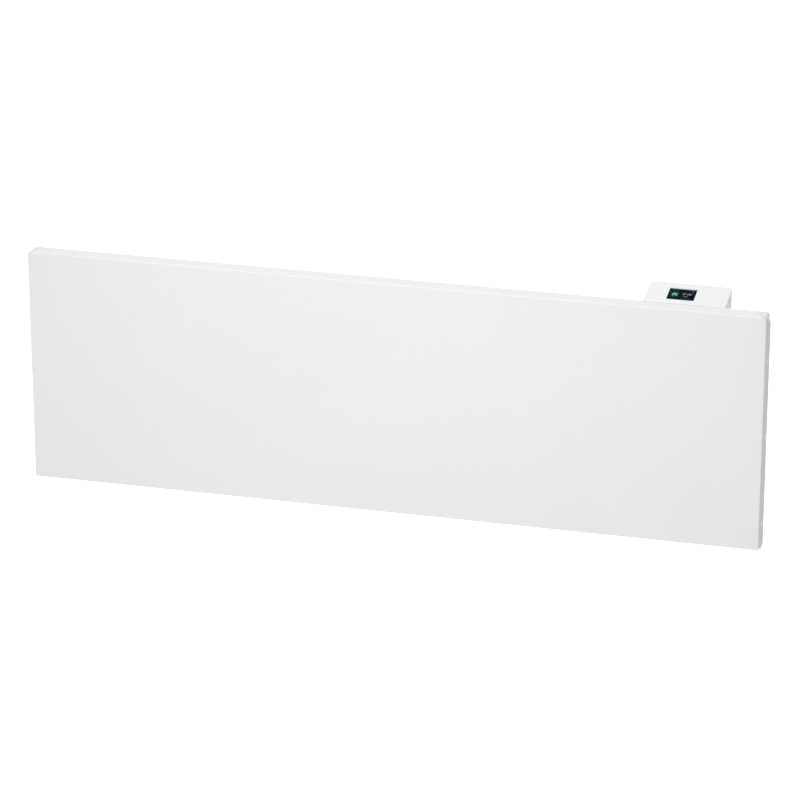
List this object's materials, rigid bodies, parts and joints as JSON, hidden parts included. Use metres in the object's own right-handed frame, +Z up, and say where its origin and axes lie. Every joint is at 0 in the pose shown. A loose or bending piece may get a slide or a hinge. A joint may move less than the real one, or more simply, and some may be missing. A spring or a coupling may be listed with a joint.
{
  "type": "wall panel convector heater",
  "caption": "Flat white wall heater with rounded cap corners, sloping top display unit, slotted outlet, and tilting hang-on wall bracket.",
  "frame": {"origin": "centre of the wall bracket's screw pattern, on the wall plane", "axes": "+X to the right seen from the room, +Y into the wall, +Z up"},
  "size_m": [1.1414, 0.09, 0.3898],
  "materials": {
    "white_paint": "satin powder coat, white",
    "casing_paint": "satin powder coat, cool white",
    "cap_plastic": "fine satin, white",
    "control_plastic": "fine satin, white",
    "display_glass": "dark tinted, polished",
    "display_panel": "dark, glossy",
    "galvanised": "zinc coated",
    "spring_steel": "bright",
    "zinc_screw": "zinc coated",
    "aluminium": "extruded",
    "reflector": "bright rolled",
    "sheath_steel": "dull, heat tinted",
    "brass": "plain",
    "rubber": "matt",
    "grey_rubber": "matt",
    "black_plastic": "fine matt",
    "grille_paint": "satin powder coat",
    "grille_plastic": "satin",
    "board": "solder mask",
    "relay_plastic": "gloss",
    "module_plastic": "matt",
    "terminal_plastic": "gloss",
    "lead_brown": "silicone",
    "lead_blue": "silicone",
    "lead_green": "silicone",
    "ribbon_grey": "flat cable",
    "bimetal": "stamped"
  },
  "bodies": {
    "wall_bracket": {"bracket_rail_left": "galvanised", "bracket_rail_right": "galvanised", "bracket_bar_upper": "galvanised", "bracket_bar_lower": "galvanised", "catch_spring_left": "spring_steel", "catch_spring_right": "spring_steel", "catch_rivets": "zinc_screw", "rail_buffer_left": "rubber", "rail_buffer_right": "rubber"},
    "heater": {"front_panel": "white_paint", "corner_cap_left": "cap_plastic", "corner_cap_right": "cap_plastic", "rear_casing": "casing_paint", "outlet_grille": "grille_paint", "intake_grille": "grille_plastic", "panel_screws": "zinc_screw", "casing_rivets": "zinc_screw", "element_fins": "aluminium", "element_sheath": "sheath_steel", "element_terminals": "brass", "element_bracket_left": "galvanised", "element_bracket_right": "galvanised", "element_bush_left": "grey_rubber", "element_bush_right": "grey_rubber", "heat_shield": "reflector", "cutout_bracket": "galvanised", "overheat_cutout": "bimetal", "live_lead": "lead_brown", "element_lead": "lead_brown", "neutral_lead": "lead_blue", "earth_lead": "lead_green", "switch_leads": "lead_brown", "lead_clips": "black_plastic", "earth_stud": "brass", "casing_grommet": "rubber", "hanger_lug_left": "galvanised", "hanger_lug_right": "galvanised", "hanger_pin_left": "zinc_screw", "hanger_pin_right": "zinc_screw", "catch_strike_left": "galvanised", "catch_strike_right": "galvanised", "control_housing": "control_plastic", "control_cover": "control_plastic", "control_screws": "zinc_screw", "control_board": "board", "display_window": "display_glass", "display_module": "display_panel", "board_ribbon": "ribbon_grey", "power_board": "board", "relay": "relay_plastic", "supply_module": "module_plastic", "capacitor": "module_plastic", "terminal_block": "terminal_plastic", "room_sensor": "black_plastic", "cable_gland": "black_plastic", "gland_nut": "black_plastic", "cord_clamp": "black_plastic", "switch_body": "black_plastic", "switch_terminals": "brass"},
    "rocker": {"power_rocker": "black_plastic"}
  },
  "joints": [
    {"name": "heater_tilt", "type": "hinge", "parent": "wall_bracket", "child": "heater", "pos_m": [0, -0.034, -0.155], "axis": [1, 0, 0], "range_deg": [0, 25], "deforming": ["catch_spring_left", "catch_spring_right"]},
    {"name": "power_rocker_tilt", "type": "hinge", "parent": "heater", "child": "rocker", "pos_m": [0.501, -0.025, 0.1172], "axis": [0, 1, 0], "range_deg": [0, 14]}
  ]
}
